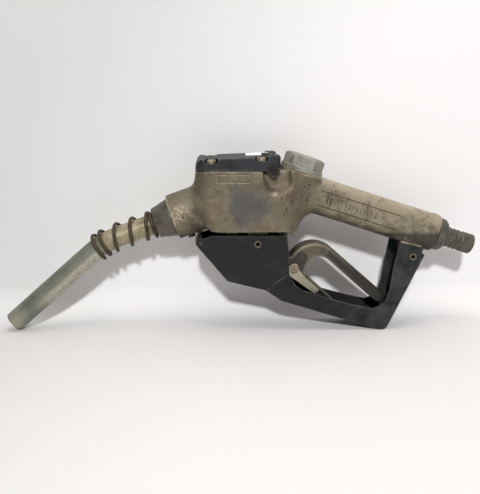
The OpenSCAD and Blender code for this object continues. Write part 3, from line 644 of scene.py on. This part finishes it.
class Surface:
    """A mesh's points and neighbours as arrays, for smoothing by rule."""

    def __init__(self, mesh):
        self.mesh = mesh
        count = len(mesh.vertices)
        self.points = np.empty(count * 3)
        mesh.vertices.foreach_get("co", self.points)
        self.points = self.points.reshape(count, 3)
        ends = np.empty(len(mesh.edges) * 2, dtype=np.int64)
        mesh.edges.foreach_get("vertices", ends)
        ends = ends.reshape(-1, 2)
        self.tail = np.concatenate([ends[:, 0], ends[:, 1]])
        self.head = np.concatenate([ends[:, 1], ends[:, 0]])
        self.valence = np.bincount(self.tail, minlength=count).astype(float)

    def lean(self):
        """From each point to the mean of its neighbours."""
        mean = np.stack([np.bincount(self.tail, self.points[self.head, k], len(self.points))
                         for k in range(3)], axis=1)
        return mean / self.valence[:, None] - self.points

    def normals(self):
        """The direction in which the surface faces at each point."""
        self.write()
        flat = np.empty(len(self.points) * 3)
        self.mesh.vertices.foreach_get("normal", flat)
        return flat.reshape(-1, 3)

    def write(self):
        """Puts the points back on the mesh."""
        self.mesh.vertices.foreach_set("co", self.points.ravel())
        self.mesh.update()

    def soften(self, rounds, weight=1.0):
        """Moves each point towards its neighbours' mean, by a weight for each."""
        for _ in range(rounds):
            self.points += 0.5 * self.lean() * np.reshape(weight, (-1, 1))

    def fill_hollows(self, rounds, weight):
        """Raises hollow corners only, into fillets, as a moulder's blend does."""
        rounds_per_normal = 12
        for turn in range(rounds):
            if turn % rounds_per_normal == 0:
                normal = self.normals()
            lean = self.lean()
            hollow = np.sum(lean * normal, axis=1) > 1e-7
            self.points += 0.6 * lean * (hollow * weight)[:, None]

    def mark_ridges(self, rounds, depth):
        """Stores how far each point stands proud of its smoothed surroundings."""
        kept = self.points.copy()
        normal = self.normals()
        self.soften(rounds)
        proud = np.sum((kept - self.points) * normal, axis=1) / depth
        self.points = kept
        layer = self.mesh.attributes.new("ridge", "FLOAT", "POINT")
        layer.data.foreach_set("value", np.clip(proud, -1, 1).astype(np.float32))
        self.write()


def remeshed(node, voxel):
    """A CAD node's mesh rebuilt as one even skin of small quads."""
    piece = add_object(node + "_skin", welded(node))
    modifier = piece.modifiers.new("skin", "REMESH")
    modifier.mode = "VOXEL"
    modifier.voxel_size = voxel
    modifier.use_smooth_shade = True
    bake(piece)
    return piece


def grid_tube(rings, close_ends=True):
    """A mesh over rings of points, each ring joined to the next."""
    n, m = len(rings), len(rings[0])
    faces = [(i * m + k, i * m + (k + 1) % m, (i + 1) * m + (k + 1) % m, (i + 1) * m + k)
             for i in range(n - 1) for k in range(m)]
    if close_ends:
        faces += [tuple(range(m - 1, -1, -1)), tuple((n - 1) * m + k for k in range(m))]
    mesh = bpy.data.meshes.new("rings")
    mesh.from_pydata([p for ring in rings for p in ring], [], faces)
    bm = bmesh.new()
    bm.from_mesh(mesh)
    bmesh.ops.recalc_face_normals(bm, faces=bm.faces)
    bm.to_mesh(mesh)
    bm.free()
    mesh.shade_smooth()
    return mesh


# ---------------------------------------------------------------- the casting

def hill(power, *spans):
    """1 where every value is at its centre, falling to 0 beyond the widths around it."""
    return np.exp(sum(-((values - centre) / width) ** power for values, centre, width in spans))


def make_casting():
    """The valve body as a sand casting: filled inner corners, rounded edges, uneven skin."""
    piece = remeshed("valve_body", 1.0 * MM)
    piece.name = "valve_casting"
    surface = Surface(piece.data)
    x, y, z = surface.points.T  # views, which follow the points as they move
    nose_root = hill(2, (x, -0.050, 0.018)) * (z > 0.105)
    valve_boss = (x > 0.045) & (x < 0.11) & (z > 0.108)
    lugs = 0.5 * (z < 0.103)
    surface.fill_hollows(110, np.clip(nose_root + valve_boss + lugs, 0, 1))
    surface.fill_hollows(90, nose_root)
    pockets = hill(4, (x, 0.037, 0.021), (z, 0.1495, 0.0135)) * (np.abs(y) > 0.012)
    surface.soften(110, pockets)
    front_corner = hill(4, (x, -0.036, 0.010), (z, 0.112, 0.010))
    surface.soften(40, front_corner)
    surface.soften(5)
    # Low swells with smaller ones over them, in waves per metre, as a sand mould leaves
    broad, small = 55, 140
    normal = surface.normals()
    swell = np.array([noise.noise(Vector(point) * broad) + 0.5 * noise.noise(Vector(point) * small)
                      for point in surface.points])
    surface.points += normal * (swell * 0.16 * MM)[:, None]
    surface.mark_ridges(14, 0.5 * MM)
    dress(piece, "nozzle", "cast_body", "valve_body")


# ---------------------------------------------------------------- spout and spring

TURN = math.radians(LOWER_SLOPE - UPPER_SLOPE)
ARC_START = BEND_AT - BEND_RADIUS * math.tan(TURN / 2)
ARC_LENGTH = BEND_RADIUS * TURN
SPOUT_LENGTH = ARC_START + ARC_LENGTH + LOWER_LENGTH - BEND_RADIUS * math.tan(TURN / 2)
BEND_CENTRE = NOSE_END + ARC_START * ahead(UPPER_SLOPE) - BEND_RADIUS * above(UPPER_SLOPE)


def spout_at(s):
    """Centre, direction and upper side of the spout at a distance from the nose end."""
    if s < ARC_START:
        return NOSE_END + s * ahead(UPPER_SLOPE), ahead(UPPER_SLOPE), above(UPPER_SLOPE)
    turned = min(s - ARC_START, ARC_LENGTH)
    slope = UPPER_SLOPE + math.degrees(turned / BEND_RADIUS)
    centre = BEND_CENTRE + BEND_RADIUS * above(slope)
    return centre + (s - ARC_START - turned) * ahead(slope), ahead(slope), above(slope)


def make_spout():
    """The drawn spout tube: a rounded lip, a slightly flattened bend and small dents."""
    spacing, around = 1.6 * MM, 72
    lip = 0.45 * MM
    buried = 16 * MM  # how far the tube runs back inside the nose
    bend_reach, flattening = 16 * MM, 0.018
    dent_scale, dent_depth = 90, 0.35 * MM
    count = round((SPOUT_LENGTH + buried) / spacing)
    stations = [-buried + (SPOUT_LENGTH + buried) * k / count for k in range(count + 1)]

    def ring(s, radius, dented=1.0):
        centre, _, up = spout_at(s)
        bent = math.exp(-((s - BEND_AT) / bend_reach) ** 2)
        points = []
        for k in range(around):
            a = 2 * math.pi * k / around
            oval = 1 - flattening * bent * math.cos(2 * a)
            side = math.cos(a) * up + math.sin(a) * ACROSS
            dent = noise.noise((centre + radius * side) * dent_scale) - 0.25
            r = radius * oval - dented * dent_depth * max(0, dent)
            points.append(centre + r * side)
        return points

    outer = [ring(s, SPOUT_RADIUS) for s in stations[:-1]]
    end, inside = stations[-1], SPOUT_RADIUS - SPOUT_WALL
    quarter_turn = (0, 0.5, 1.05, math.pi / 2)
    mouth = [ring(end - lip * (1 - math.sin(a)), SPOUT_RADIUS - lip * (1 - math.cos(a)))
             for a in quarter_turn]
    mouth += [ring(end - lip * (1 - math.cos(a)), inside + lip * (1 - math.sin(a)), dented=0)
              for a in quarter_turn]
    inner = [ring(s, inside, dented=0) for s in reversed(stations[:-1])]
    rings = outer + mouth + inner
    piece = add_object("spout_drawn_tube", grid_tube(rings + rings[:1], close_ends=False))
    weld = bmesh.new()
    weld.from_mesh(piece.data)
    bmesh.ops.remove_doubles(weld, verts=weld.verts, dist=1e-7)
    weld.to_mesh(piece.data)
    weld.free()
    piece.data.shade_smooth()
    dress(piece, "nozzle", "spout_metal", "spout_tube")


def make_anchor_spring():
    """The rusty wire round the spout: a closed turn, open turns and a closing turn."""
    wire_radius, coil_radius = 1.7 * MM, 13 * MM
    first, closed, opened, closing = 19.8 * MM, 3.6 * MM, 17 * MM, 7.35 * MM
    open_turns, turns, phase = 2.8, 5.45, 0.97
    steps, sides = 40, 14
    count = round(turns * steps)

    def reach(t):
        if t < 1:
            return first + closed * t
        if t < 1 + open_turns:
            return first + closed + opened * (t - 1)
        return first + closed + opened * open_turns + closing * (t - 1 - open_turns)

    def point(t):
        s = (reach(t - 0.06) + reach(t) + reach(t + 0.06)) / 3
        centre, _, up = spout_at(s)
        a = 2 * math.pi * (t - phase)
        return centre + coil_radius * (math.cos(a) * up - math.sin(a) * ACROSS)

    rings = []
    for i in range(count + 1):
        t = i / steps
        middle = point(t)
        run = (point(t + 0.01) - point(t - 0.01)).normalized()
        out = (middle - spout_at(reach(t))[0]).normalized()
        third = run.cross(out).normalized()
        out = third.cross(run)
        from_end = min(i, count - i)
        thin = (0.55, 0.88)[from_end] if from_end < 2 else 1.0
        rust = 1 + 0.05 * noise.noise(middle * 260)
        radius = wire_radius * thin * rust
        rings.append([middle + radius * (math.cos(b) * out + math.sin(b) * third)
                      for b in [2 * math.pi * k / sides for k in range(sides)]])
    piece = add_object("anchor_spring_wire", grid_tube(rings))
    dress(piece, "nozzle", "rusty_wire", "anchor_spring")


# ---------------------------------------------------------------- raised details

def add_pad(name, centre, along, across, length, width, height, slot_name="cast_body",
            corner=None, sunk=0.5 * MM):
    """A raised, soft-edged pad on a surface: its outline is a rounded rectangle."""
    corner = min(length, width) * 0.42 if corner is None else corner
    out = along.cross(across).normalized()
    if out.y * centre.y < 0:
        out = -out
    outline = []
    for turn, (u, v) in enumerate(((1, 1), (-1, 1), (-1, -1), (1, -1))):
        for k in range(5):
            a = math.radians(90 * turn + 22.5 * k)
            outline.append((u * (length / 2 - corner) + corner * math.cos(a),
                            v * (width / 2 - corner) + corner * math.sin(a)))
    ease = min(height * 0.8, corner * 0.8)
    profile = ((-sunk, 0), (height - ease, 0), (height - 0.3 * ease, 0.3 * ease), (height, ease))
    rings = []
    for rise, inset in profile:
        shrink_u = (length / 2 - inset) / (length / 2)
        shrink_v = (width / 2 - inset) / (width / 2)
        rings.append([centre + u * shrink_u * along + v * shrink_v * across + rise * out
                      for u, v in outline])
    dress(add_object(name, grid_tube(rings)), "nozzle", slot_name)


HANDLE_TILT = math.radians(HANDLE_SLOPE)
HANDLE_AHEAD = Vector((math.cos(HANDLE_TILT), 0, -math.sin(HANDLE_TILT)))
HANDLE_DOWN = Vector((-math.sin(HANDLE_TILT), 0, -math.cos(HANDLE_TILT)))


def on_handle(t, down, y):
    """A point at a distance along the handle, below its axis, at a width."""
    place = HANDLE_START + t * HANDLE_AHEAD + down * HANDLE_DOWN
    return Vector((place.x, y, place.z))


def make_lever():
    """The lever: a coated channel whose upper edges are worn broadly round."""
    piece = remeshed("lever", 0.7 * MM)
    piece.name = "lever_worn"
    surface = Surface(piece.data)
    # How deep each point lies, in mm, below the round back of the hump or the flat of the arm
    hump_x, hump_z, hump_radius = 72, 63.6, 27.5
    slope, arm_rise, arm_start = math.radians(49), 122.6, 12.6
    x, z = surface.points[:, 0] / MM, surface.points[:, 2] / MM
    under_hump = hump_radius - np.hypot(x - hump_x, z - hump_z)
    under_arm = arm_rise - (x * math.cos(slope) + z * math.sin(slope))
    along_arm = x * math.sin(slope) - z * math.cos(slope)
    depth = np.where(along_arm < arm_start, under_hump, under_arm)
    edge_depth, fork_end = 5.5, 46
    surface.soften(46, np.clip(1.15 - depth / edge_depth, 0, 1) * (x > fork_end))
    surface.soften(3)
    surface.mark_ridges(20, 0.6 * MM)
    dress(piece, "lever", "lever_metal", "lever")


def make_handle_panels():
    """On each side of the handle a sunk panel between two fine rims, with plain grip bars."""
    first, last, bars, dirty_bars = -29, 23, 14, 2
    rims = {"upper": -7.3 * MM, "lower": 7.6 * MM}
    for side, word in SIDES.items():
        y = side * HANDLE_HALF_WIDTH
        # The rims are thin dark lines that stand for soiling and painted shade in the grooves
        for edge, down in rims.items():
            add_pad(f"handle_rim_{edge}_{word}", on_handle(5.5 * MM, down, y),
                    HANDLE_AHEAD, HANDLE_DOWN, length=87 * MM, width=0.7 * MM,
                    height=0.14 * MM, slot_name="groove_dirt_and_shade")
        for k in range(bars):
            t = first + (last - first) * k / (bars - 1)
            add_pad(f"handle_bar_{word}_{k}", on_handle(t * MM, 0.2 * MM, y - side * 0.25 * MM),
                    HANDLE_DOWN, HANDLE_AHEAD, length=6.4 * MM, width=1.5 * MM,
                    height=0.75 * MM, slot_name="groove_dirt_and_shade" if k < dirty_bars else "worn_marks")


def make_name_pads():
    """A blank raised plate with a rim near the top of each side of the block."""
    centre, length, width = Vector((-12.0, 0, 158.2)) * MM, 32 * MM, 7.6 * MM
    rim_width, rim_height = 0.9 * MM, 0.55 * MM
    flat, up = Vector((1, 0, 0)), Vector((0, 0, 1))
    for side, word in SIDES.items():
        middle = Vector((centre.x, side * BODY_HALF_WIDTH, centre.z))
        add_pad(f"blank_plate_{word}", middle, flat, up, length, width, 0.25 * MM,
                corner=1.2 * MM)
        for edge, rim, end in ((-1, "low", "front"), (1, "top", "rear")):
            add_pad(f"plate_rim_{word}_{rim}", middle + edge * width / 2 * up, flat, up,
                    length, rim_width, rim_height, "worn_marks")
            add_pad(f"plate_end_{word}_{end}", middle + edge * length / 2 * flat, up, flat,
                    width, rim_width, rim_height, "worn_marks")


def make_cover_label():
    """The pale blank label plate on the rear of the cover's top."""
    below_crest = 1.9 * MM
    slope = Vector((1, 0, 0.038)).normalized()
    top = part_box("diaphragm_cover")[1][2] - below_crest
    add_pad("cover_label", Vector((0.014, 0.007, top)), slope, ACROSS, length=24 * MM,
            width=18 * MM, height=0.9 * MM, slot_name="label_white", corner=1.5 * MM)


def make_handle_lips():
    """The light edge of the handle's lip, over the top of the guard's rear post."""
    start, end = Vector((158.0, 0, 93.7)) * MM, Vector((179.8, 0, 88.3)) * MM
    half_width = 20.1 * MM
    run = (end - start).normalized()
    rise = Vector((-run.z, 0, run.x))
    for side, word in SIDES.items():
        middle = (start + end) / 2 + Vector((0, side * half_width, 0))
        add_pad(f"handle_lip_{word}", middle, run, rise, length=(end - start).length,
                width=1.7 * MM, height=1.0 * MM, slot_name="worn_marks", sunk=3.5 * MM)


def make_guard_ribs():
    """The faint diagonal step on each side of the guard, where its plate meets the channel."""
    low, high = Vector((23.5, 0, 44.8)) * MM, Vector((43.5, 0, 60.5)) * MM
    run = (high - low).normalized()
    rise = Vector((-run.z, 0, run.x))
    middle = (low + high) / 2
    half_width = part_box("hand_guard")[1][1]
    for side, word in SIDES.items():
        add_pad(f"guard_step_{word}", Vector((middle.x, side * half_width, middle.z)), run, rise,
                length=(high - low).length, width=1.0 * MM, height=0.12 * MM,
                slot_name="guard_plastic")


# ---------------------------------------------------------------- pieces from the part

EASED = (
    # node, edge radius in mm, body, finish
    ("diaphragm_cover", 0.7, "nozzle", "black_cover"),
    ("cover_screws", 0.3, "nozzle", "screw_steel"),
    ("valve_cap", 1.0, "nozzle", "cap_metal"),
    ("spout_nut", 0.35, "nozzle", "nut_metal"),
    ("spout_set_screw", 0.25, "nozzle", "dark_screw"),
    ("hand_guard", 0.75, "nozzle", "guard_plastic"),
    ("guard_front_rivets", 0.3, "nozzle", "rivet_steel"),
    ("guard_rear_rivet", 0.3, "nozzle", "rivet_steel"),
    ("guard_nose_pin", 0.2, "nozzle", "dark_screw"),
    ("hose_tail", 0.3, "nozzle", "tail_metal"),
    ("stem_gland", 0.3, "nozzle", "dark_screw"),
    ("trip_stem", 0.4, "trip", "stem_steel"),
    ("lever_pin", 0.2, "lever", "stem_steel"),
    ("hold_open_latch", 0.5, "latch", "latch_metal"),
    ("latch_rivet", 0.35, "latch", "screw_steel"),
)
KEPT = {
    # finish: the CAD nodes that stay visible with it
    "rubber_seal": ("diaphragm", "cap_seal", "poppet_disc", "stem_seal", "spout_seal",
                    "hose_tail_seal"),
    "brass_fitting": ("diaphragm_plate", "trip_sleeve", "main_poppet", "check_seat", "check_poppet",
                      "vent_tube", "inlet_strainer"),
    "stem_steel": ("release_pin", "trip_balls", "valve_stem"),
    "nut_metal": ("latch_rod",),
}
SPRINGS = {
    # node: the slide that closes it up
    "diaphragm_spring": "release_slide",
    "trip_spring": "trip_slide",
    "main_spring": "valve_slide",
    "check_spring": "check_slide",
}


def make_springs():
    """The inner springs, each a copy of its CAD coil with its own mesh."""
    for node, name in SPRINGS.items():
        piece = add_object(node + "_coil", welded(node))
        dress(piece, "nozzle", "spring_steel", node)
        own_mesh(piece)


def finish_kept_nodes():
    """Gives each CAD node that stays visible its procedural material."""
    for slot_name, nodes in KEPT.items():
        for node in nodes:
            slots = NODES[node].material_slots
            for entry in slots:
                entry.material = MATERIALS[slot_name]
            if not slots:
                NODES[node].data.materials.append(MATERIALS[slot_name])


def main():
    add_camera()
    add_sweep()
    add_light()
    make_casting()
    make_spout()
    make_anchor_spring()
    make_lever()
    make_handle_panels()
    make_name_pads()
    make_cover_label()
    make_handle_lips()
    make_guard_ribs()
    for node, radius, body, slot_name in EASED:
        make_eased(node, radius * MM, body, slot_name)
    make_springs()
    finish_kept_nodes()
    meshes = [thing for thing in bpy.data.objects if thing.type == "MESH"]
    add_back_fill([mesh for mesh in meshes if mesh.name != "paper_sweep"])


main()
